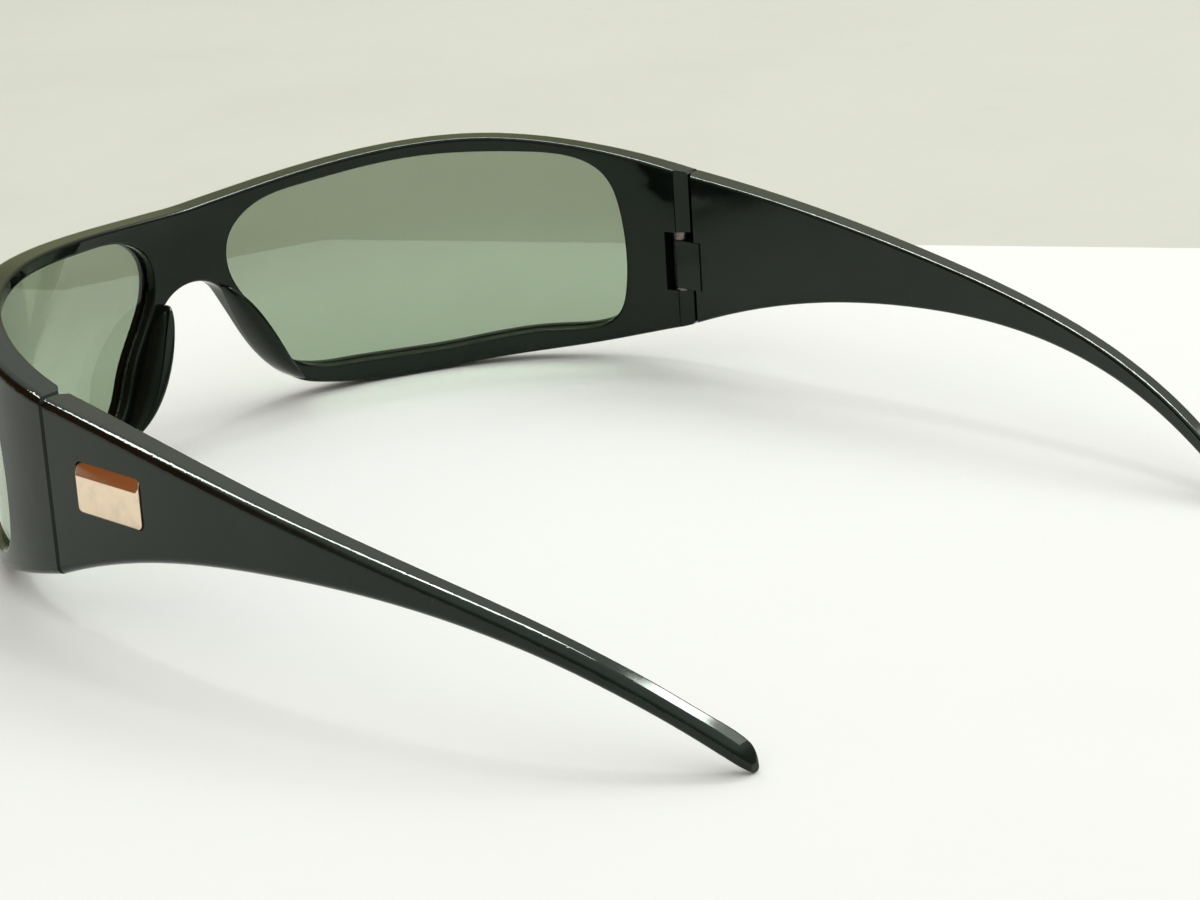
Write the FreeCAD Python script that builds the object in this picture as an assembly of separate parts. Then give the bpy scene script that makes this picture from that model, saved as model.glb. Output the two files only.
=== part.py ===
"""Wraparound sport sunglasses: a full-rim front, two lenses and two hinged temples.

Millimetres.  +X is the wearer's left, -Y the way the glasses look, +Z up.  The origin is on the
ground, midway between the outermost, foremost and rearmost points of the open glasses, which stand
on the low points of the rims and on the temple tips.  Each piece is written to parts/NODE.step.
"""
import FreeCAD
import Part
import math
import os

from FreeCAD import Vector

# Overall sizes
joint_half_width = 68.0      # centre line to the outer wall at the hinge joint
front_depth = 50.4           # hinge joint to the foremost point of the bridge
temple_length = 107.2        # hinge joint to the temple tip
joint_bottom = 7.0           # height of the lower edge at the hinge joint
joint_top = 31.8             # height of the upper edge at the hinge joint

# Front: the plan of its outer wall is one smooth curve, swept back into the joints
bridge_handle = 39.8         # how far the curve stays flat beside the bridge
joint_handle = 31.3          # how far it stays straight before the joint
joint_lean = 4.6             # degrees it still turns outward at the joint
front_wall = 4.6             # thickness of the front
barrel = 0.8                 # how far the upper and lower edges lie behind the middle
outer_round = 1.3            # rounding of the long edges of the outer wall
inner_round = 0.5            # rounding of the long edges of the inner wall
brow_heights = (35.4, 36.4, 37.6, 37.6, 35.2)   # upper edge at even steps, bridge to joint
rim_heights = (0.0, 0.8, 2.8)                    # lower edge at its low point and beyond
low_point = 0.23             # where the lower edge touches the ground, from arch foot to joint
rim_steps = (0.46, 0.73)     # where the other two heights are, from arch foot to joint
arch = ((0.0, 23.6), (3.4, 23.0), (6.0, 21.4), (7.8, 18.8), (9.4, 16.0), (12.6, 10.4),
        (16.0, 6.1), (19.8, 3.2))                # nose arch: distance along the wall, height
arch_foot = (24.5, 1.7)      # where the arch runs out into the lower rim

# Lens openings and lenses
nasal_edge = ((21.4, 5.4), (17.3, 8.6), (14.7, 13.4), (10.6, 19.2), (8.0, 24.5), (8.5, 29.1),
              (12.2, 32.4))                      # opening beside the nose, bottom to top
brow_rim = 2.2               # height of the rim above the lens
lower_rim = 3.3              # height of the rim below the lens
brow_steps = (0.16, 0.45, 0.74)                  # opening's upper edge, along its span
lower_steps = (0.80, 0.53, 0.27)                 # opening's lower edge, along its span
end_piece = 13.0             # length of the front between the opening and the joint
corner_drop = 2.6            # how far the outer upper corner has fallen where it turns down
corner_run = 2.2             # length of that corner along the wall
corner_height = 7.0          # height of that corner
foot_rise = 2.4              # how far the outer lower corner has risen where it turns up
opening_round = 0.4          # rounding of the opening's inner and outer edges
lens_thickness = 1.8
lens_setback = 1.3           # outer wall to the lens face
groove_depth = 0.9           # how far the lens edge lies in the rim
lens_clearance = 0.05

# Nose pads, bonded behind the nasal rims
pad_top = 22.0
pad_bottom = 3.4
pad_reach = 5.0              # how far the pad stands out behind the front
pad_thickness = 3.6
pad_inset = 0.6              # middle of the pad to the edge of the nose arch
pad_splay = 0.0              # degrees it leans away from the nose toward the back

# Temples
temple_wall_joint = 4.6      # thickness at the joint
temple_wall_tip = 3.1        # thickness toward the tip
temple_bow = (0.075, -0.000702, -0.00000986)     # outward slope, bend and growing bend of the wall
temple_tops = (28.5, 24.4, 19.9, 13.7, 2.6)      # upper edge at even steps, joint to tip
temple_bottoms = (13.2, 15.7, 15.3, 10.7, 0.0)   # lower edge at even steps, joint to tip
tip_round = 1.8              # length over which the tip is rounded off

# Hinge: the temple's tongue turns between two lugs of the front
tongue_reach = 3.6           # how far the tongue stands out of the temple
knuckle_radius = 1.5         # half the tongue's thickness
outer_skin = 1.0             # wall left outside the notch
tongue_bottom = 12.95
tongue_top = 20.75
lower_gap = 0.45             # lower lug to tongue
upper_gap = 1.3              # tongue to upper lug
notch_clearance = 0.35       # end of the tongue to the end of the notch
side_clearance = 0.15        # tongue to the outer skin
joint_gap = 0.1              # front to temple when open
groove_chamfer = 0.35        # bevel that makes the joint line outside
lug_bevel = 1.9              # bevel of the lugs' inner edge along the front
lug_bevel_start = 0.2        # where that bevel starts, inward of the pin
shoulder_relief = 1.6        # how far the temple's inner shoulders are cut back
relief_start = 0.8           # where that cut starts, outward of the pin

# Hinge hardware
screw_diameter = 1.4
screw_head_diameter = 2.3
screw_head_height = 0.9
screw_head_recess = 0.9      # joint's lower edge to the seat of the head
slot_width = 0.4
slot_depth = 0.35
insert_diameter = 2.4
insert_length = 4.2
screw_end_gap = 0.3          # end of the screw to the end of the insert
bush_diameter = 2.1
washer_diameter = 2.8
bearing_clearance = 0.03     # radial, bush on the screw
hole_clearance = 0.05        # radial, still parts on the screw
washer_play = 0.1            # washer or spacer to the tongue

# Badge plates, bare, one on each temple
plate_start = 6.6            # joint to the near end of the plate
plate_length = 13.0
plate_height = 6.9
plate_middle = 21.05
plate_thickness = 1.1
plate_proud = 0.45
plate_corner = 0.9
plate_bevel = 0.25
plate_clearance = 0.15
plate_pin_diameter = 1.3
plate_pin_length = 1.5
plate_pin_spacing = 7.6

# Places worked out from the sizes above
joint_y = (front_depth - temple_length) / 2.0
notch_end = tongue_reach + notch_clearance
pin_y = joint_y - tongue_reach + knuckle_radius
notch_bottom = tongue_bottom - lower_gap
notch_top = tongue_top + upper_gap
reach_out = 3.0              # how far cutting tools pass the walls
below_all, above_all = -20.0, 80.0               # heights that clear the whole part
middle_height = (brow_heights[-2] + rim_heights[0]) / 2.0
up = Vector(0, 0, 1)


def through(points, closed=False, steps=None):
    """Smooth curve through points, with its own parameter at each point where given."""
    curve = Part.BSplineCurve()
    if steps:
        curve.interpolate(Points=points, Parameters=steps, PeriodicFlag=closed)
    else:
        curve.interpolate(Points=points, PeriodicFlag=closed)
    return curve


def height_curve(places, heights):
    """Height as a smooth function of a place."""
    curve = through([Vector(a, b, 0) for a, b in zip(places, heights)], steps=list(places))
    return lambda place: curve.value(place).y


def front_plan():
    """Plan of the front's outer wall from the right joint to the left one."""
    lean = math.radians(joint_lean)
    side = Vector(joint_half_width, joint_y, 0)
    shoulder = side - Vector(math.sin(lean), math.cos(lean), 0) * joint_handle
    flat = Vector(bridge_handle, joint_y - front_depth, 0)
    poles = [mirrored(side), mirrored(shoulder), mirrored(flat), Vector(0, flat.y, 0), flat,
             shoulder, side]
    curve = Part.BSplineCurve()
    curve.buildFromPolesMultsKnots(poles, [4, 3, 4], [0.0, 1.0, 2.0], False, 3)
    return curve


def mirrored(point):
    return Vector(-point.x, point.y, point.z)


plan = front_plan()
half_arc = plan.length(1.0, 2.0)


def plan_frame(along):
    """Point and direction of the outer wall at a distance along it from the centre line."""
    inside = max(-half_arc, min(half_arc, along))
    place = plan.parameterAtDistance(abs(inside), 1.0)
    point = plan.value(place)
    direction = plan.tangent(place)[0]
    if inside < 0:
        point = mirrored(point)
        direction = Vector(direction.x, -direction.y, 0)
    return point + direction * (along - inside), direction


def wall_point(along, height, depth):
    """Point at a distance along the wall, a height and a depth behind the outer wall."""
    point, direction = plan_frame(along)
    inward = Vector(-direction.y, direction.x, 0)
    share = min(1.0, abs(along) / half_arc)
    bow = barrel * (1.0 - share ** 4) * ((height - middle_height) / middle_height) ** 2
    return Vector(point.x, point.y, height) + inward * (depth + bow)


def outer_x(y):
    """Half width of the outer wall at a y behind the bridge."""
    low, high = 0.0, half_arc
    for _ in range(40):
        middle = (low + high) / 2.0
        if plan_frame(middle)[0].y < y:
            low = middle
        else:
            high = middle
    return plan_frame(low)[0].x


pin_x = outer_x(joint_y - notch_end) - outer_skin - side_clearance - knuckle_radius


def slab(depth_in, depth_out, start, end, sections):
    """Curved wall between two depths, taller than the front."""
    heights = (-8.0, middle_height, 2 * middle_height + 8.0)
    wires = []
    for index in range(sections):
        along = start + (end - start) * index / (sections - 1)
        outer = [wall_point(along, z, depth_in) for z in heights]
        inner = [wall_point(along, z, depth_out) for z in reversed(heights)]
        edges = [through(outer).toShape(), Part.makeLine(outer[-1], inner[0]),
                 through(inner).toShape(), Part.makeLine(inner[-1], outer[0])]
        wires.append(Part.Wire(edges))
    return Part.makeLoft(wires, True, False)


def cutting_face(outline, closed):
    """Surface square to the wall that follows an outline of (along, height) points."""
    steps = [index / float(len(outline)) for index in range(len(outline) + (1 if closed else 0))]
    edges = []
    for depth in (-reach_out - 1.0, front_wall + reach_out + 1.0):
        points = [wall_point(along, height, depth) for along, height in outline]
        edges.append(through(points, closed, steps).toShape())
    return Part.makeRuledSurface(edges[0], edges[1])


def split_at(solid, faces, along, height):
    """The piece of a solid, cut by faces, that holds a point in the middle of the wall."""
    pieces = solid.generalFuse(faces)[0].Solids
    point = wall_point(along, height, front_wall / 2.0)
    return [piece for piece in pieces if piece.isInside(point, 0.001, True)][0]


def sampled(curve, count, closed):
    """Even samples of a flat curve as (along, height) pairs."""
    first, last = curve.FirstParameter, curve.LastParameter
    divisions = count if closed else count - 1
    return [curve.value(first + (last - first) * index / divisions) for index in range(count)]


brow_height = height_curve([half_arc * step / 5.0 for step in range(6)], brow_heights + (joint_top,))


def lower_points():
    """Lower edge of the left half, from the arch to the joint."""
    rest = half_arc - arch_foot[0]
    points = list(arch) + [arch_foot]
    for share, height in zip((low_point,) + rim_steps, rim_heights):
        points.append((arch_foot[0] + rest * share, height))
    points.append((half_arc, joint_bottom))
    return points


def silhouette():
    """Faces along the upper and the lower edge of the whole front."""
    run_out = 6.0
    brow = []
    for index in range(-24, 25):
        along = half_arc * index / 24.0
        brow.append((along, brow_height(abs(along))))
    slope = (brow[-1][1] - brow[-2][1]) / (brow[-1][0] - brow[-2][0])
    brow = [(-half_arc - run_out, joint_top + slope * run_out)] + brow
    brow.append((half_arc + run_out, joint_top + slope * run_out))
    half = lower_points()
    rise = (half[-1][1] - half[-2][1]) / (half[-1][0] - half[-2][0])
    half.append((half_arc + run_out, joint_bottom + rise * run_out))
    whole = [(-along, height) for along, height in reversed(half[1:])] + half
    curve = through([Vector(along, height, 0) for along, height in whole])
    lower = [(point.x, point.y) for point in sampled(curve, 97, False)]
    return [cutting_face(brow, False), cutting_face(lower, False)]


def opening_outline(grow):
    """Outline of the left lens opening, moved outward by a distance."""
    outer = half_arc - end_piece
    inner = nasal_edge[-1][0]
    span = outer - inner
    points = [Vector(along, height, 0) for along, height in nasal_edge]
    for share in brow_steps:
        along = inner + span * share
        points.append(Vector(along, brow_height(along) - brow_rim, 0))
    corner = brow_height(outer - corner_run) - brow_rim - corner_drop
    points.append(Vector(outer - corner_run, corner, 0))
    points.append(Vector(outer, corner - corner_height, 0))
    lower = height_curve([point[0] for point in lower_points()[-5:]],
                         [point[1] for point in lower_points()[-5:]])
    foot = lower(outer) + lower_rim
    points.append(Vector(outer + 0.2, foot + 2.5 * foot_rise, 0))
    points.append(Vector(outer - foot_rise / 2.0, foot + foot_rise / 2.0, 0))
    for share in lower_steps:
        along = inner + span * share
        points.append(Vector(along, lower(along) + lower_rim, 0))
    curve = through(points, True)
    outline = []
    for index in range(64):
        place = curve.FirstParameter + (curve.LastParameter - curve.FirstParameter) * index / 64.0
        point = curve.value(place)
        direction = curve.tangent(place)[0]
        outward = Vector(-direction.y, direction.x, 0)
        moved = point + outward * grow
        outline.append((moved.x, moved.y))
    return outline


def opening_plug(grow, depth_in, depth_out):
    """Solid that fills the left opening between two depths."""
    body = slab(depth_in, depth_out, 0.0, half_arc, 11)
    middle = half_arc / 2.0
    return split_at(body, [cutting_face(opening_outline(grow), True)], middle, middle_height)


def box(x0, x1, y0, y1, z0, z1):
    return Part.makeBox(x1 - x0, y1 - y0, z1 - z0, Vector(x0, y0, z0))


def pin(radius, z0, z1):
    """Upright cylinder on the left hinge axis."""
    return Part.makeCylinder(radius, z1 - z0, Vector(pin_x, pin_y, z0), up)


def ring(outer_radius, inner_radius, z0, z1):
    return pin(outer_radius, z0, z1).cut(pin(inner_radius, z0 - 1, z1 + 1))


def prism(points, z0, z1):
    """Upright prism over a flat outline."""
    corners = [Vector(x, y, z0) for x, y in points]
    return Part.Face(Part.makePolygon(corners + corners[:1])).extrude(Vector(0, 0, z1 - z0))


def mirror(shape):
    return shape.mirror(Vector(0, 0, 0), Vector(1, 0, 0))


def depth_of(edge):
    """Depth behind the outer wall of a point on an edge of the front."""
    place = edge.FirstParameter + (edge.LastParameter - edge.FirstParameter) * 0.4
    point = edge.valueAt(place)
    steps = range(-100, 101)
    return min((wall_point(half_arc * step / 100.0, point.z, 0.0) - point).Length for step in steps)


def solid_front():
    """The front with its openings and rounded edges, before the hinges and lens grooves."""
    wall = slab(0.0, front_wall, -half_arc - 4.0, half_arc + 4.0, 21)
    front = split_at(wall, silhouette(), half_arc - end_piece / 2.0, middle_height)
    plug = opening_plug(0.0, -reach_out, front_wall + reach_out)
    front = front.cut(plug).cut(mirror(plug))
    long_edges = [edge for edge in front.Edges if edge.Length > half_arc / 2.0]
    rims = [edge for edge in long_edges if edge.isClosed()]
    runs = [edge for edge in long_edges if not edge.isClosed()]
    outer = [edge for edge in runs if depth_of(edge) < front_wall / 2.0]
    inner = [edge for edge in runs if depth_of(edge) > front_wall / 2.0]
    front = front.makeFillet(outer_round, outer)
    return front, rims, inner


def matching(shape, edges):
    """The edges of a shape that run where other edges run."""
    found = []
    for edge in edges:
        middle = edge.valueAt((edge.FirstParameter + edge.LastParameter) / 2.0)
        vertex = Part.Vertex(middle)
        found += [other for other in shape.Edges if other.distToShape(vertex)[0] < 0.001]
    return found


def temple_section(y, thickness, low, high, outer):
    """Rounded rectangle across the temple."""
    inner_x = outer - thickness
    corners = [(outer, low, outer_round), (outer, high, outer_round),
               (inner_x, high, inner_round), (inner_x, low, inner_round)]
    limit = 0.42 * min(thickness, high - low)
    points = [Vector(x, y, z) for x, z, _ in corners]
    edges = []
    starts, ends, middles = [], [], []
    for index, point in enumerate(points):
        radius = min(corners[index][2], limit)
        before = (points[index - 1] - point).normalize() * radius
        after = (points[(index + 1) % 4] - point).normalize() * radius
        centre = point + before + after
        starts.append(point + before)
        ends.append(point + after)
        middles.append(centre + (point - centre).normalize() * radius)
    for index in range(4):
        edges.append(Part.Arc(starts[index], middles[index], ends[index]).toShape())
        edges.append(Part.makeLine(ends[index], starts[(index + 1) % 4]))
    return Part.Wire(edges)


def temple_outer(run):
    """Half width of the temple's outer wall at a distance behind the joint."""
    slope, bend, growth = temple_bow
    return joint_half_width + slope * run + bend * run ** 2 + growth * run ** 3


def temple_body():
    steps = [temple_length * index / 5.0 for index in range(6)]
    top = height_curve(steps, (joint_top,) + temple_tops)
    bottom = height_curve(steps, (joint_bottom,) + temple_bottoms)
    places = [temple_length * index / 18.0 for index in range(18)]
    places += [temple_length - tip_round * share for share in (1.0, 0.6, 0.3, 0.1, 0.0)]
    wires = []
    for run in places:
        share = run / temple_length
        thickness = temple_wall_tip + (temple_wall_joint - temple_wall_tip) * (1.0 - share) ** 1.5
        into_tip = max(0.0, (run - temple_length + tip_round) / tip_round)
        scale = math.sqrt(1.0 - 0.8 * into_tip ** 2)
        low, high = bottom(run), top(run)
        middle = (low + high) / 2.0 * scale + low * (1.0 - scale)
        half = (high - low) / 2.0 * scale
        outer = temple_outer(run) - thickness * (1.0 - scale) / 2.0
        wires.append(temple_section(joint_y + run, thickness * scale, middle - half,
                                    middle + half, outer))
    return Part.makeLoft(wires, True, False)


def rounded(front, rims, inner):
    front = front.makeFillet(inner_round, matching(front, inner))
    return front.makeFillet(opening_round, matching(front, rims))


def joint_chamfer(shape, y):
    """Bevel the outer, upper and lower edges of an end at the joint."""
    inner_limit = joint_half_width - 0.75 * front_wall
    edges = []
    for edge in shape.Edges:
        points = [vertex.Point for vertex in edge.Vertexes]
        middle = edge.valueAt((edge.FirstParameter + edge.LastParameter) / 2.0)
        at_end = all(abs(point.y - y) < 0.001 for point in points + [middle])
        if at_end and abs(middle.x) > inner_limit:
            edges.append(edge)
    return shape.makeChamfer(groove_chamfer, edges)


def lens_groove():
    """Ring cut into the left rim for the lens edge."""
    return opening_plug(groove_depth, lens_setback - lens_clearance,
                        lens_setback + lens_thickness + lens_clearance)


def lens():
    return opening_plug(groove_depth - lens_clearance, lens_setback,
                        lens_setback + lens_thickness)


def hinge_notch():
    """Room in the left end piece for the temple's tongue."""
    return box(pin_x - 3 * front_wall, pin_x + knuckle_radius + side_clearance,
               joint_y - notch_end, joint_y + reach_out, notch_bottom, notch_top)


def lug_bevels():
    """Wedge off the inner edge of both lugs, which the temple passes as it folds."""
    inner_x = joint_half_width - front_wall
    edge_x = pin_x - lug_bevel_start
    return prism([(edge_x, joint_y), (edge_x, joint_y + 1), (inner_x - 2 * lug_bevel, joint_y + 1),
                  (inner_x - 2 * lug_bevel, joint_y - lug_bevel), (inner_x, joint_y - lug_bevel)],
                 -1.0, joint_top + reach_out)


def screw_seat():
    return joint_bottom + screw_head_recess


def lug_holes():
    """Holes in the lugs for the screw, its head and the threaded insert."""
    head = pin(screw_head_diameter / 2.0 + hole_clearance, -1.0, screw_seat())
    shank = pin(screw_diameter / 2.0 + hole_clearance, 0.0, notch_top + insert_length)
    insert = pin(insert_diameter / 2.0, notch_top - 1.0, notch_top + insert_length)
    return head.fuse(shank).fuse(insert)


def front_frame():
    front = rounded(*solid_front())
    half = front.common(box(0, 2 * joint_half_width, joint_y - 2 * front_depth, joint_y,
                            below_all, above_all))
    half = joint_chamfer(half, joint_y)
    for tool in (lug_holes(), hinge_notch(), lug_bevels(), lens_groove()):
        half = half.cut(tool)
    return half.fuse(mirror(half))


def hinge_screw():
    seat = screw_seat()
    head = pin(screw_head_diameter / 2.0, seat - screw_head_height, seat)
    shank = pin(screw_diameter / 2.0, seat, notch_top + insert_length - screw_end_gap)
    slot = box(pin_x - screw_head_diameter, pin_x + screw_head_diameter,
               pin_y - slot_width / 2.0, pin_y + slot_width / 2.0,
               seat - screw_head_height, seat - screw_head_height + slot_depth)
    return head.fuse(shank).cut(slot)


def hinge_insert():
    return ring(insert_diameter / 2.0, screw_diameter / 2.0 + bearing_clearance,
                notch_top, notch_top + insert_length)


def hinge_washer():
    return ring(washer_diameter / 2.0, screw_diameter / 2.0 + hole_clearance,
                notch_bottom, tongue_bottom - washer_play)


def hinge_spacer():
    return ring(washer_diameter / 2.0, screw_diameter / 2.0 + hole_clearance,
                tongue_top + washer_play, notch_top)


def hinge_bush():
    return ring(bush_diameter / 2.0, screw_diameter / 2.0 + bearing_clearance,
                tongue_bottom, tongue_top)


def tongue():
    """Knuckle round the pin and the web that joins it to the temple."""
    knuckle = pin(knuckle_radius, tongue_bottom, tongue_top)
    web = box(pin_x - knuckle_radius, pin_x + knuckle_radius, pin_y, joint_y + shoulder_relief + 1,
              tongue_bottom, tongue_top)
    return knuckle.fuse(web)


def shoulder_reliefs():
    """Wedge off the temple's inner shoulders."""
    inner_x = joint_half_width - temple_wall_joint
    start_x = pin_x + relief_start
    return prism([(start_x, joint_y - 1), (start_x, joint_y + joint_gap),
                  (inner_x, joint_y + shoulder_relief), (inner_x - 2, joint_y + shoulder_relief),
                  (inner_x - 2, joint_y - 1)], -1.0, joint_top + reach_out)


def plate_frame(shape):
    """Place a shape, built flat round the plate's middle, on the temple's outer wall."""
    run = plate_start + plate_length / 2.0
    turn = math.degrees(math.atan((temple_outer(run + 1) - temple_outer(run - 1)) / 2.0))
    shape.rotate(Vector(0, 0, 0), up, -turn)
    shape.translate(Vector(temple_outer(run), joint_y + run, plate_middle))
    return shape


def rounded_plate(margin, x0, x1):
    """Plate with rounded corners between two distances from the temple's wall."""
    length = plate_length + 2 * margin
    height = plate_height + 2 * margin
    blank = box(x0, x1, -length / 2.0, length / 2.0, -height / 2.0, height / 2.0)
    corners = [edge for edge in blank.Edges if abs(edge.tangentAt(edge.FirstParameter).x) > 0.9]
    return blank.makeFillet(plate_corner + margin, corners)


def plate_pins(margin):
    """Two pins behind the plate."""
    pins = []
    for side in (-0.5, 0.5):
        base = Vector(plate_proud - plate_thickness, side * plate_pin_spacing, 0)
        pins.append(Part.makeCylinder(plate_pin_diameter / 2.0 + margin,
                                      plate_pin_length + margin, base, Vector(-1, 0, 0)))
    return pins


def badge_plate():
    plate = rounded_plate(0.0, plate_proud - plate_thickness, plate_proud)
    face = max(plate.Faces, key=lambda one: one.CenterOfMass.x)
    plate = plate.makeChamfer(plate_bevel, face.Edges)
    for one in plate_pins(0.0):
        plate = plate.fuse(one)
    return plate_frame(plate)


def plate_pocket():
    pocket = rounded_plate(plate_clearance, plate_proud - plate_thickness, reach_out)
    for one in plate_pins(hole_clearance):
        pocket = pocket.fuse(one)
    return plate_frame(pocket)


def temple():
    body = temple_body()
    front_gap = box(0, 2 * joint_half_width, joint_y - 5, joint_y + joint_gap, below_all, above_all)
    body = joint_chamfer(body.cut(front_gap), joint_y + joint_gap)
    body = body.cut(shoulder_reliefs()).fuse(tongue())
    body = body.cut(pin(bush_diameter / 2.0, tongue_bottom - 1, tongue_top + 1))
    return body.cut(plate_pocket())


def nose_pad():
    """Leaf-shaped pad on the inner side of the left nasal rim."""
    middle = (pad_top + pad_bottom) / 2.0
    half = (pad_top - pad_bottom) / 2.0
    side = arch[2:]
    rim = height_curve([point[1] for point in reversed(side)],
                       [point[0] for point in reversed(side)])
    wires = []
    for share in (-0.96, -0.85, -0.65, -0.35, 0.0, 0.35, 0.65, 0.85, 0.96):
        height = middle + half * share
        scale = math.sqrt(1.0 - share ** 2)
        centre = wall_point(rim(height) + pad_inset, height, front_wall)
        ellipse = Part.Ellipse(Vector(0, 0, 0), pad_reach * scale, pad_thickness / 2.0 * scale)
        wire = Part.Wire(ellipse.toShape())
        wire.rotate(Vector(0, 0, 0), up, 90.0 - pad_splay)
        wire.translate(centre)
        wires.append(wire)
    pad = Part.makeLoft(wires, True, False)
    return pad.cut(slab(-2 * reach_out, front_wall, 0.0, half_arc / 2.0, 11))


def write(name, shape):
    shape.exportStep("parts/" + name + ".step")


def build():
    os.makedirs("parts", exist_ok=True)
    write("front_frame", front_frame())
    pieces = {"nose_pad": nose_pad, "lens": lens, "temple": temple, "badge_plate": badge_plate,
              "hinge_screw": hinge_screw, "hinge_insert": hinge_insert, "hinge_bush": hinge_bush,
              "hinge_washer": hinge_washer, "hinge_spacer": hinge_spacer}
    for name, make in pieces.items():
        shape = make()
        write(name + "_left", shape)
        write(name + "_right", mirror(shape))


if __name__ == "__main__":
    build()
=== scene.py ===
"""Finishes for wraparound sport sunglasses, their bare badge plates, hinge screws and stage."""
import math

import bmesh
import bpy
from bpy.props import FloatProperty, FloatVectorProperty, PointerProperty
from mathutils import Matrix, Vector


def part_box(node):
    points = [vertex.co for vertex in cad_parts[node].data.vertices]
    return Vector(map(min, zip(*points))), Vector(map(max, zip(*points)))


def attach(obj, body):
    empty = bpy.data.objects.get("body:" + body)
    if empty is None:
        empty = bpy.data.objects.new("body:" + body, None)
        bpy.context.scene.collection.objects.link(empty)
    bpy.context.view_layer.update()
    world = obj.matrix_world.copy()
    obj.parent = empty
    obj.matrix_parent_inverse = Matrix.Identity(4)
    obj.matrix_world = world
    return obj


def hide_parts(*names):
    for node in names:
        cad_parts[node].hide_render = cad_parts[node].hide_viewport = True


bl_info = {
    "name": "Wraparound Sunglasses",
    "version": (1, 0, 0),
    "blender": (4, 5, 0),
    "location": "View3D > Sidebar > Sunglasses",
    "description": "Finishes the packed wraparound sunglasses and sets their stage",
    "category": "Object",
}

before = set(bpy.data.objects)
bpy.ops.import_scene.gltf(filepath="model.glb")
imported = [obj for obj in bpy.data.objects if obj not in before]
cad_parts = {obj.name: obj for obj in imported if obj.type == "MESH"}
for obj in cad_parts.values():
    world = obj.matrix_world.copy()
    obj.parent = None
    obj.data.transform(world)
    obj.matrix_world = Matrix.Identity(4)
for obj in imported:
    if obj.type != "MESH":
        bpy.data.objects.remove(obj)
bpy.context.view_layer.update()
SIDES = ("left", "right")
MM = 0.001

# Badge plates
PLATE_THICKNESS = 1.1 * MM
PLATE_RISE = 0.25 * MM       # raised face above its rim
PLATE_CORNER = 0.9 * MM
PLATE_RIM = 0.32 * MM        # width of the rim round the raised face
BAND_HEIGHT = 1.75 * MM      # top of the plate down to where its band starts
BAND_SLOPE = math.radians(24.0)
PIN_RADIUS = 0.65 * MM
PIN_LENGTH = 1.5 * MM
PIN_OFFSET = 3.8 * MM        # middle of the plate to each pin
SMOOTH_ANGLE = math.radians(25.0)

# Lenses
LENS_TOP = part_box("lens_left")[1].z
TOP_TINT = (0.288, 0.345, 0.250)

# Stage
PAPER_REACH = 3.0
FLOOR_DROP = 0.2 * MM
BACKDROP_DROP = 2.0 * MM
NEAR_SIDE = (0.887, 0.461)   # where the floor sheet runs from its far edge
FLOOR_EDGE = ((-1.5, 2.6), (-0.16, 0.0), (-0.09, -0.14), (-0.04, -0.16), (1.3, -2.8))
LAMP_TARGET = (0.0, 0.0, 0.02)
SENSOR_WIDTH = 36.0

# Colours of the room, and the directions of its wall and its warm corner
ROOM_CEILING = (0.97, 1.0, 0.95, 1.0)
ROOM_DIM = (0.24, 0.26, 0.24, 1.0)
ROOM_WALL = (0.34, 0.36, 0.20, 1.0)
ROOM_WARM = (0.20, 0.07, 0.02, 1.0)
WALL_SIDE = (-0.86, -0.48, 0.17)
WARM_CORNER = (0.515, -0.73, 0.445)


class Wire:
    """An output socket; adding to it or multiplying it adds Math nodes."""

    def __init__(self, finish, socket):
        self.finish = finish
        self.socket = socket

    def maths(self, operation, first, second):
        return self.finish.node("ShaderNodeMath", {"operation": operation}, {0: first, 1: second})

    def __add__(self, other):
        return self.maths("ADD", self, other)

    def __mul__(self, other):
        return self.maths("MULTIPLY", self, other)

    __radd__ = __add__
    __rmul__ = __mul__


class Finish:
    """The nodes of a material or of the room's light."""

    def __init__(self, owner):
        self.owner = owner
        owner.use_nodes = True
        self.tree = owner.node_tree
        self.tree.nodes.clear()

    def node(self, kind, settings=None, inputs=None, output=0):
        """Add a node, set it up, fill or link its sockets and return one output."""
        made = self.tree.nodes.new(kind)
        for name, value in (settings or {}).items():
            if name == "stops":
                ramp = made.color_ramp
                for element, (place, shade) in zip(ramp.elements, value):
                    element.position = place
                    element.color = (shade, shade, shade, 1.0)
            else:
                setattr(made, name, value)
        for name, value in (inputs or {}).items():
            if isinstance(value, Wire):
                self.tree.links.new(value.socket, made.inputs[name])
            else:
                made.inputs[name].default_value = value
        return Wire(self, made.outputs[output]) if made.outputs else None

    def place(self, stretch=(1.0, 1.0, 1.0), turn=(0.0, 0.0, 0.0)):
        """Object coordinates, stretched and turned."""
        seat = self.node("ShaderNodeTexCoord", output="Object")
        return self.node("ShaderNodeMapping", inputs={"Vector": seat, "Scale": stretch,
                                                      "Rotation": turn})

    def noise(self, place, scale, detail=2.0, roughness=0.5):
        return self.node("ShaderNodeTexNoise", inputs={"Vector": place, "Scale": scale,
                                                       "Detail": detail, "Roughness": roughness})

    def ramp(self, value, low, high):
        """0 below low, 1 above high, smooth between."""
        stops = {"stops": ((low, 0.0), (high, 1.0))}
        made = self.node("ShaderNodeValToRGB", stops, {"Fac": value})
        made.socket.node.color_ramp.interpolation = "EASE"
        return made

    def blend(self, share, first, second):
        """A colour between two colours."""
        return self.node("ShaderNodeMix", {"data_type": "RGBA"},
                         {0: share, 6: first, 7: second}, 2)

    def bump(self, height, strength, distance):
        return self.node("ShaderNodeBump", inputs={"Height": height, "Strength": strength,
                                                   "Distance": distance})

    def surface(self, **inputs):
        """The main shader, with socket names written with underscores."""
        named = {name.replace("_", " ").title().replace("Ior", "IOR"): value
                 for name, value in inputs.items()}
        return self.node("ShaderNodeBsdfPrincipled", inputs=named)

    def show(self, shader):
        self.node("ShaderNodeOutputMaterial", inputs={"Surface": shader})
        return self.owner


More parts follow.
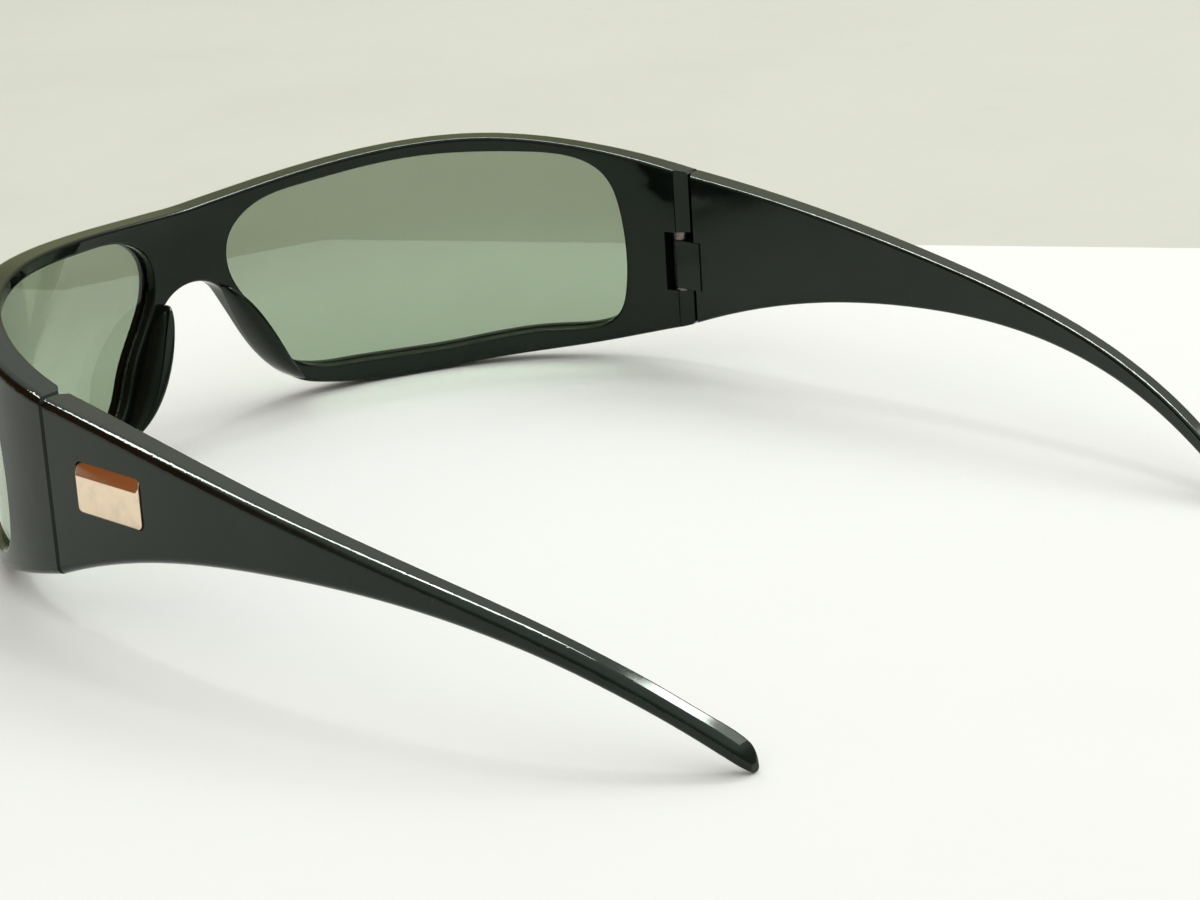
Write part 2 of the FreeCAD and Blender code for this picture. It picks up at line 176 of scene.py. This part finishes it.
def rgba(colour):
    return (*colour[:3], 1.0)


def handled(finish, place):
    """Soft prints where fingers have been, and the fine hairlines of wiping."""
    prints = finish.ramp(finish.noise(place, 95.0, 4.0, 0.62), 0.44, 0.70)
    wiped = finish.place((260.0, 30.0, 900.0), (0.2, 0.0, 0.35))
    hairlines = finish.ramp(finish.noise(wiped, 3.0, 3.0, 0.6), 0.60, 0.72)
    return prints, hairlines


def gloss_plastic(name, colour, roughness, print_roughness, ripple, specular):
    """Polished moulded plastic: faint ripple of the mould, prints, hairlines and dust."""
    finish = Finish(bpy.data.materials.new(name))
    place = finish.place()
    prints, hairlines = handled(finish, place)
    dust = finish.ramp(finish.noise(place, 2600.0, 1.0), 0.80, 0.83)
    deep = rgba(colour)
    worn = rgba([channel * 1.8 + 0.003 for channel in colour])
    shade = finish.blend(prints * 0.6, deep, worn)
    shade = finish.blend(dust * 0.3, shade, (0.30, 0.29, 0.26, 1.0))
    gloss = prints * print_roughness + hairlines * 0.05 + dust * 0.35 + roughness
    skin = finish.noise(place, 330.0, 2.0) + hairlines * 0.12
    shader = finish.surface(base_color=shade, roughness=gloss, specular_ior_level=specular,
                            specular_tint=(0.83, 1.0, 0.83, 1.0),
                            normal=finish.bump(skin, ripple, 0.02 * MM))
    return finish.show(shader)


def tinted_lens(name, colour):
    """Clear tinted sheet that lets lamps through, a little darker toward the brow."""
    finish = Finish(bpy.data.materials.new(name))
    place = finish.place()
    prints, hairlines = handled(finish, place)
    apart = finish.node("ShaderNodeSeparateXYZ", inputs={0: place}, output="Z")
    height = finish.ramp(apart * (1.0 / LENS_TOP), 0.40, 0.75)
    shade = finish.blend(height + prints * 0.2, rgba(colour), rgba(TOP_TINT))
    gloss = prints * 0.018 + hairlines * 0.01 + 0.004
    shader = finish.surface(base_color=shade, roughness=gloss, ior=1.5, transmission_weight=1.0)
    root = rgba([math.sqrt(channel) for channel in colour])
    clear = finish.node("ShaderNodeBsdfTransparent", inputs={"Color": root})
    shadow = finish.node("ShaderNodeLightPath", output="Is Shadow Ray")
    return finish.show(finish.node("ShaderNodeMixShader", inputs={0: shadow, 1: shader, 2: clear}))


def metal(name, colour, roughness, stretch, grain):
    """Bare metal with the drawn or turned lines its making left."""
    finish = Finish(bpy.data.materials.new(name))
    place = finish.place()
    lines = finish.noise(finish.place(stretch), 1.0, 4.0, 0.6)
    tarnish = finish.ramp(finish.noise(place, 420.0, 4.0, 0.65), 0.42, 0.75)
    dull = rgba([channel * 0.80 for channel in colour])
    shade = finish.blend(tarnish * 0.55, rgba(colour), dull)
    gloss = lines * grain + tarnish * 0.10 + roughness
    shader = finish.surface(base_color=shade, metallic=1.0, roughness=gloss,
                            normal=finish.bump(lines, 0.12, 0.01 * MM))
    return finish.show(shader)


def matt_paper(name, colour, mottle):
    """Stage paper with soft creases and handling marks."""
    finish = Finish(bpy.data.materials.new(name))
    place = finish.place()
    cloud = finish.ramp(finish.noise(place, 14.0, 5.0, 0.6), 0.35, 0.75)
    marks = finish.ramp(finish.noise(place, 60.0, 6.0, 0.7), 0.56, 0.76)
    dim = rgba([channel * (1.0 - mottle) for channel in colour])
    shade = finish.blend(cloud * 0.6 + marks * 0.4, rgba(colour), dim)
    shader = finish.surface(base_color=shade, roughness=0.75, specular_ior_level=0.0,
                            normal=finish.bump(cloud, 0.15, 1.0 * MM))
    return finish.show(shader)


def wear(node, material):
    """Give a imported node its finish."""
    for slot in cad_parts[node].material_slots:
        slot.material = material


def choose(kind, test):
    """In edit mode, select only the vertices, edges or faces that pass a test."""
    bpy.ops.mesh.select_mode(type=kind)
    bpy.ops.mesh.select_all(action="DESELECT")
    form = bmesh.from_edit_mesh(bpy.context.edit_object.data)
    parts = {"VERT": form.verts, "EDGE": form.edges, "FACE": form.faces}[kind]
    for part in parts:
        part.select_set(test(part))
    form.select_flush_mode()
    bmesh.update_edit_mesh(bpy.context.edit_object.data)


def seat_of_plate(side):
    """Where a plate's outer face lies: its placing matrix, length and height."""
    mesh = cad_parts["badge_plate_" + side].data
    outward = max(mesh.polygons, key=lambda face: face.area).normal.copy()
    outward.z = 0.0
    outward.normalize()
    if outward.x * (1.0 if side == "left" else -1.0) < 0.0:
        outward.negate()
    up = Vector((0.0, 0.0, 1.0))
    along = up.cross(outward)
    places = [vertex.co for vertex in mesh.vertices]
    depth = max(place.dot(outward) for place in places)
    ends = [place.dot(along) for place in places]
    heights = [place.z for place in places]
    centre = (outward * depth + along * (max(ends) + min(ends)) / 2.0
              + up * (max(heights) + min(heights)) / 2.0)
    matrix = Matrix((outward, along, up)).transposed().to_4x4()
    matrix.translation = centre
    return matrix, max(ends) - min(ends), max(heights) - min(heights)


def plate_blank(length, height):
    """Plate lying back from its outer face, with round corners and a raised bevelled face."""
    bpy.ops.object.select_all(action="DESELECT")
    bpy.ops.mesh.primitive_cube_add(size=1.0)
    bpy.ops.object.mode_set(mode="EDIT")
    bpy.ops.transform.resize(value=(PLATE_THICKNESS - PLATE_RISE, length, height))
    bpy.ops.transform.translate(value=(-(PLATE_THICKNESS + PLATE_RISE) / 2.0, 0.0, 0.0))
    choose("EDGE", lambda edge: abs((edge.verts[0].co - edge.verts[1].co).x) > 0.1 * MM)
    bpy.ops.mesh.bevel(offset=PLATE_CORNER, segments=6)
    choose("FACE", lambda face: face.normal.x > 0.9)
    bpy.ops.mesh.inset(thickness=PLATE_RIM)
    bpy.ops.transform.translate(value=(PLATE_RISE, 0.0, 0.0))
    bpy.ops.mesh.select_all(action="SELECT")
    bpy.ops.mesh.bisect(plane_co=(0.0, 0.0, height / 2.0 - BAND_HEIGHT),
                        plane_no=(math.cos(BAND_SLOPE), 0.0, math.sin(BAND_SLOPE)),
                        use_fill=True, clear_outer=True)
    bpy.ops.object.mode_set(mode="OBJECT")


def plate_pin(place):
    """Pin behind a plate, with a rounded end."""
    bpy.ops.mesh.primitive_cylinder_add(vertices=32, radius=PIN_RADIUS, depth=PIN_LENGTH,
                                        location=place, rotation=(0.0, math.radians(90.0), 0.0))
    pin = bpy.context.object
    round_edges(pin, 0.15 * MM, 60.0)
    return pin


def round_edges(piece, width, angle):
    """Round every edge sharper than an angle and smooth the rest."""
    bevel = piece.modifiers.new("rounding", "BEVEL")
    bevel.width = width
    bevel.segments = 3
    bevel.limit_method = "ANGLE"
    bevel.angle_limit = math.radians(angle)
    bpy.context.view_layer.objects.active = piece
    bpy.ops.object.modifier_apply(modifier=bevel.name)
    bpy.ops.object.shade_smooth_by_angle(angle=SMOOTH_ANGLE)


def badge_plate(side, polish):
    """Bare plate whose upper band slopes back into its recess."""
    matrix, length, height = seat_of_plate(side)
    plate_blank(length, height)
    plate = bpy.context.object
    round_edges(plate, 0.06 * MM, 12.0)
    pins = [plate_pin((-PLATE_THICKNESS - PIN_LENGTH / 2.0, end * PIN_OFFSET, 0.0))
            for end in (-1, 1)]
    for pin in pins:
        pin.select_set(True)
    plate.select_set(True)
    bpy.context.view_layer.objects.active = plate
    bpy.ops.object.join()
    plate.name = "plate_" + side
    plate.matrix_world = matrix
    bpy.ops.object.transform_apply(location=True, rotation=True, scale=True)
    plate.data.materials.append(polish)
    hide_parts("badge_plate_" + side)
    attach(plate, "temple_" + side)


class GlassesLook(bpy.types.PropertyGroup):
    """Colours and gloss of the glasses."""

    frame_colour: FloatVectorProperty(
        name="Frame colour", description="Colour of the front, pads and temples",
        subtype="COLOR", default=(0.0032, 0.0046, 0.0036), min=0.0, max=1.0)
    frame_gloss: FloatProperty(
        name="Frame roughness", description="Roughness of clean polished plastic",
        subtype="FACTOR", default=0.035, min=0.0, max=1.0)
    lens_colour: FloatVectorProperty(
        name="Lens tint", description="Light that passes straight through a lens",
        subtype="COLOR", default=(0.312, 0.400, 0.280), min=0.0, max=1.0)
    plate_colour: FloatVectorProperty(
        name="Plate colour", description="Colour of the badge plates",
        subtype="COLOR", default=(0.86, 0.69, 0.52), min=0.0, max=1.0)
    steel_colour: FloatVectorProperty(
        name="Steel colour", description="Colour of screws and washers",
        subtype="COLOR", default=(0.17, 0.145, 0.135), min=0.0, max=1.0)
    brass_colour: FloatVectorProperty(
        name="Brass colour", description="Colour of the inserts and bushes",
        subtype="COLOR", default=(0.78, 0.60, 0.34), min=0.0, max=1.0)


class StageSetup(bpy.types.PropertyGroup):
    """Camera, lamps and paper of the stage."""

    camera_place: FloatVectorProperty(
        name="Camera place", description="Where the camera stands",
        subtype="TRANSLATION", unit="LENGTH", default=(0.3415, 0.3186, 0.1673))
    camera_target: FloatVectorProperty(
        name="Camera target", description="Point at the middle of the view",
        subtype="TRANSLATION", unit="LENGTH", default=(0.0083, 0.0157, 0.0150))
    camera_roll: FloatProperty(
        name="Camera roll", description="Turn of the camera about its line of sight",
        subtype="ANGLE", default=math.radians(-3.61))
    camera_lens: FloatProperty(
        name="Focal length", description="Focal length on a 36 mm sensor",
        default=104.7, min=10.0, unit="CAMERA")
    ambient: FloatProperty(
        name="Room light", description="Strength of the light from all round",
        default=1.18, min=0.0)
    floor_colour: FloatVectorProperty(
        name="Floor colour", description="Colour of the floor paper",
        subtype="COLOR", default=(0.925, 0.92, 0.925), min=0.0, max=1.0)
    backdrop_colour: FloatVectorProperty(
        name="Backdrop colour", description="Colour of the paper behind the floor",
        subtype="COLOR", default=(0.690, 0.690, 0.630), min=0.0, max=1.0)


class SUNGLASSES_OT_front(bpy.types.Operator):
    """Polish the front and its nose pads"""

    bl_idname = "sunglasses.front"
    bl_label = "Front and Pads"

    def execute(self, context):
        look = context.scene.glasses_look
        wear("front_frame", gloss_plastic("frame_gloss", look.frame_colour, look.frame_gloss,
                                          0.05, 0.06, 0.28))
        pad = gloss_plastic("pad_gloss", look.frame_colour, look.frame_gloss + 0.02, 0.06,
                            0.04, 0.28)
        for side in SIDES:
            wear("nose_pad_" + side, pad)
        return {"FINISHED"}


class SUNGLASSES_OT_lenses(bpy.types.Operator):
    """Tint both lenses"""

    bl_idname = "sunglasses.lenses"
    bl_label = "Lenses"

    def execute(self, context):
        tint = tinted_lens("lens_tint_clear", context.scene.glasses_look.lens_colour)
        for side in SIDES:
            wear("lens_" + side, tint)
        return {"FINISHED"}


class SUNGLASSES_OT_temples(bpy.types.Operator):
    """Polish both temples"""

    bl_idname = "sunglasses.temples"
    bl_label = "Temples"

    def execute(self, context):
        look = context.scene.glasses_look
        gloss = gloss_plastic("temple_gloss", look.frame_colour, look.frame_gloss + 0.01,
                              0.06, 0.08, 0.34)
        for side in SIDES:
            wear("temple_" + side, gloss)
        return {"FINISHED"}


class SUNGLASSES_OT_plates(bpy.types.Operator):
    """Polish the bare badge plates"""

    bl_idname = "sunglasses.plates"
    bl_label = "Badge Plates"

    def execute(self, context):
        polish = metal("plate_champagne", context.scene.glasses_look.plate_colour, 0.13,
                       (300.0, 260.0, 3800.0), 0.09)
        for side in SIDES:
            badge_plate(side, polish)
        return {"FINISHED"}


class SUNGLASSES_OT_hinges(bpy.types.Operator):
    """Finish the metal of both hinges"""

    bl_idname = "sunglasses.hinges"
    bl_label = "Hinge Metal"

    def execute(self, context):
        look = context.scene.glasses_look
        steel = metal("hinge_steel", look.steel_colour, 0.20, (500.0, 500.0, 9000.0), 0.14)
        brass = metal("hinge_brass", look.brass_colour, 0.22, (500.0, 500.0, 9000.0), 0.14)
        for side in SIDES:
            for part in ("hinge_screw_", "hinge_washer_", "hinge_spacer_"):
                wear(part + side, steel)
            for part in ("hinge_insert_", "hinge_bush_"):
                wear(part + side, brass)
        return {"FINISHED"}


def paper(name, far_edge, near_edge, height, material):
    """Flat stage paper between two edges of as many points."""
    bpy.ops.object.select_all(action="DESELECT")
    bpy.ops.mesh.primitive_grid_add(x_subdivisions=len(far_edge) - 1, y_subdivisions=1, size=1.0)
    sheet = bpy.context.object
    sheet.name = name
    for vertex, corner in zip(sheet.data.vertices, (*far_edge, *near_edge)):
        vertex.co = (*corner, height)
    sheet.data.materials.append(material)


def room_light(strength):
    """Light from all round: white ceiling, pale wall, dim room and a warm corner."""
    room = Finish(bpy.data.worlds.new("room"))
    seat = room.node("ShaderNodeTexCoord", output="Generated")
    height = room.node("ShaderNodeSeparateXYZ", inputs={0: seat}, output="Z")
    ceiling = room.ramp(height, 0.25, 0.75)
    facing = room.node("ShaderNodeVectorMath", {"operation": "DOT_PRODUCT"},
                       {0: seat, 1: WARM_CORNER}, "Value")
    corner = room.ramp(facing, 0.84, 0.95)
    toward = room.node("ShaderNodeVectorMath", {"operation": "DOT_PRODUCT"},
                       {0: seat, 1: WALL_SIDE}, "Value")
    wall = room.ramp(toward, 0.25, 0.60)
    shade = room.blend(wall, ROOM_DIM, ROOM_WALL)
    shade = room.blend(ceiling, shade, ROOM_CEILING)
    shade = room.blend(corner, shade, ROOM_WARM)
    light = room.node("ShaderNodeBackground", inputs={"Color": shade, "Strength": strength})
    room.node("ShaderNodeOutputWorld", inputs={"Surface": light})
    return room.owner


def softbox(name, place, target, size, power):
    """Lamp of a given width and height, aimed at a point."""
    aim = (Vector(target) - Vector(place)).to_track_quat("-Z", "Y").to_euler()
    bpy.ops.object.light_add(type="AREA", location=place, rotation=aim)
    lamp = bpy.context.object
    lamp.name = name
    lamp.data.shape = "RECTANGLE"
    lamp.data.size, lamp.data.size_y = size
    lamp.data.energy = power
    return lamp


class SUNGLASSES_OT_stage(bpy.types.Operator):
    """Lay the floor, hang the lamps and place the camera"""

    bl_idname = "sunglasses.stage"
    bl_label = "Stage"

    def execute(self, context):
        stage = context.scene.stage_setup
        white = matt_paper("floor_paper", stage.floor_colour, 0.02)
        warm = matt_paper("backdrop_paper", stage.backdrop_colour, 0.06)
        reach = PAPER_REACH
        toward = Vector(NEAR_SIDE) * reach
        near_edge = [Vector(point) + toward for point in FLOOR_EDGE]
        paper("floor", FLOOR_EDGE, near_edge, -FLOOR_DROP, white)
        paper("backdrop", [(-reach, -reach), (reach, -reach)], [(-reach, reach), (reach, reach)],
              -BACKDROP_DROP, warm)
        context.scene.world = room_light(stage.ambient)
        softbox("key_softbox", (-0.57, 0.20, 0.62), (0.03, 0.05, 0.02), (0.34, 0.34), 1.05)
        softbox("top_lamp", (-0.20, -0.22, 0.72), LAMP_TARGET, (0.09, 0.09), 0.45)
        strip = softbox("strip_lamp", (-0.20, -0.25, 0.74), LAMP_TARGET, (1.15, 0.14), 15.0)
        strip.visible_diffuse = False       # gives thin edge lines only, no light on the paper
        sight = Vector(stage.camera_target) - Vector(stage.camera_place)
        turn = sight.to_track_quat("-Z", "Y").to_matrix()
        turn = turn @ Matrix.Rotation(stage.camera_roll, 3, "Z")
        bpy.ops.object.camera_add(location=stage.camera_place, rotation=turn.to_euler())
        camera = context.object
        camera.data.lens = stage.camera_lens
        camera.data.sensor_width = SENSOR_WIDTH
        context.scene.camera = camera
        context.scene.view_settings.view_transform = "Standard"
        return {"FINISHED"}


class SUNGLASSES_PT_panel(bpy.types.Panel):
    """Sidebar list of the making steps"""

    bl_idname = "SUNGLASSES_PT_panel"
    bl_label = "Sunglasses"
    bl_space_type = "VIEW_3D"
    bl_region_type = "UI"
    bl_category = "Sunglasses"

    def draw(self, context):
        for group in (context.scene.glasses_look, context.scene.stage_setup):
            for name in group.__annotations__:
                self.layout.prop(group, name)
        for step in STEPS:
            self.layout.operator(step.bl_idname)


STEPS = (SUNGLASSES_OT_front, SUNGLASSES_OT_lenses, SUNGLASSES_OT_temples, SUNGLASSES_OT_plates,
         SUNGLASSES_OT_hinges, SUNGLASSES_OT_stage)
CLASSES = (GlassesLook, StageSetup, *STEPS, SUNGLASSES_PT_panel)


def register():
    for cls in CLASSES:
        bpy.utils.register_class(cls)
    bpy.types.Scene.glasses_look = PointerProperty(type=GlassesLook)
    bpy.types.Scene.stage_setup = PointerProperty(type=StageSetup)


def unregister():
    del bpy.types.Scene.stage_setup
    del bpy.types.Scene.glasses_look
    for cls in reversed(CLASSES):
        bpy.utils.unregister_class(cls)


def main():
    register()
    bpy.ops.sunglasses.front()
    bpy.ops.sunglasses.lenses()
    bpy.ops.sunglasses.temples()
    bpy.ops.sunglasses.plates()
    bpy.ops.sunglasses.hinges()
    bpy.ops.sunglasses.stage()


if __name__ == "__main__":
    main()
